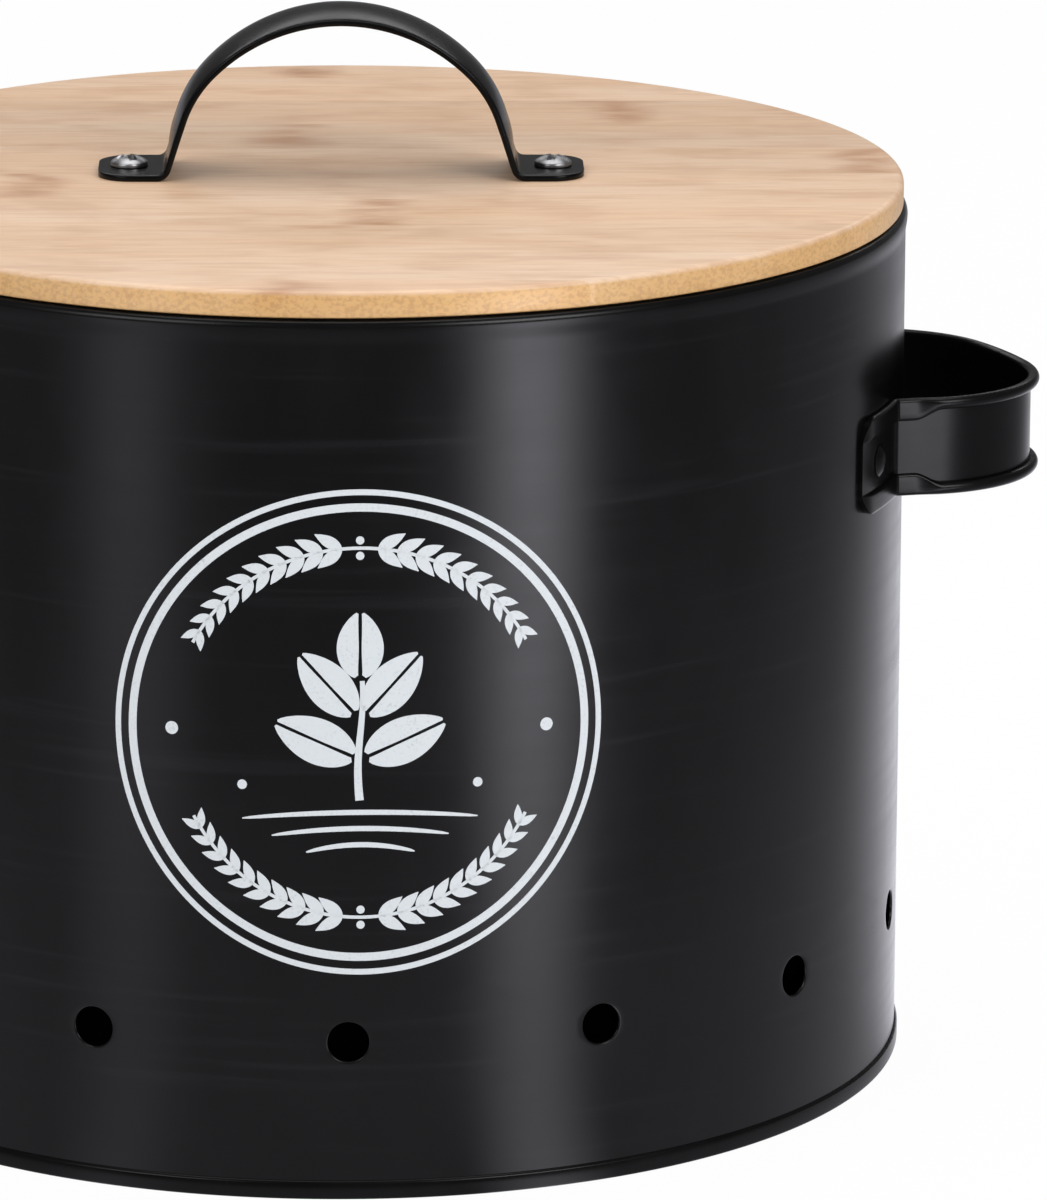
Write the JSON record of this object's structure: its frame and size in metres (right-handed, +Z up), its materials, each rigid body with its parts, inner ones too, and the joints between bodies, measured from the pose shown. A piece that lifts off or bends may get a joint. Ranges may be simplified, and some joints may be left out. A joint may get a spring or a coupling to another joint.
{
  "type": "potato storage bin",
  "caption": "Round black sheet-steel storage bin with vent holes near its base, riveted loop handles and a lift-off bamboo lid with a steel strap handle.",
  "frame": {"origin": "centre of the base on the floor, under the folded bottom seam", "axes": "+Z up along the bin's axis, +X towards the right side handle, -Y towards the front"},
  "size_m": [0.298, 0.2412, 0.2255],
  "materials": {
    "black_coat": "satin",
    "bamboo": "satin",
    "screw_steel": "polished",
    "white_ink": "matte"
  },
  "bodies": {
    "bin": {"body_shell": "black_coat", "base_plate": "black_coat", "side_handle_right": "black_coat", "side_handle_left": "black_coat", "side_rivet_right_front": "black_coat", "side_rivet_right_rear": "black_coat", "side_rivet_left_front": "black_coat", "side_rivet_left_rear": "black_coat"},
    "lid": {"lid_stave_1": "bamboo", "lid_stave_2": "bamboo", "lid_stave_3": "bamboo", "lid_stave_4": "bamboo", "lid_stave_5": "bamboo", "lid_stave_6": "bamboo", "lid_stave_7": "bamboo", "lid_stave_8": "bamboo", "lid_stave_9": "bamboo", "lid_stave_10": "bamboo", "lid_handle": "black_coat", "lid_screw_left": "screw_steel", "lid_screw_right": "screw_steel"}
  },
  "joints": [
    {"name": "lid_lift", "type": "slide", "parent": "bin", "child": "lid", "axis": [0, 0, 1], "range_m": [0, 0.1]}
  ]
}
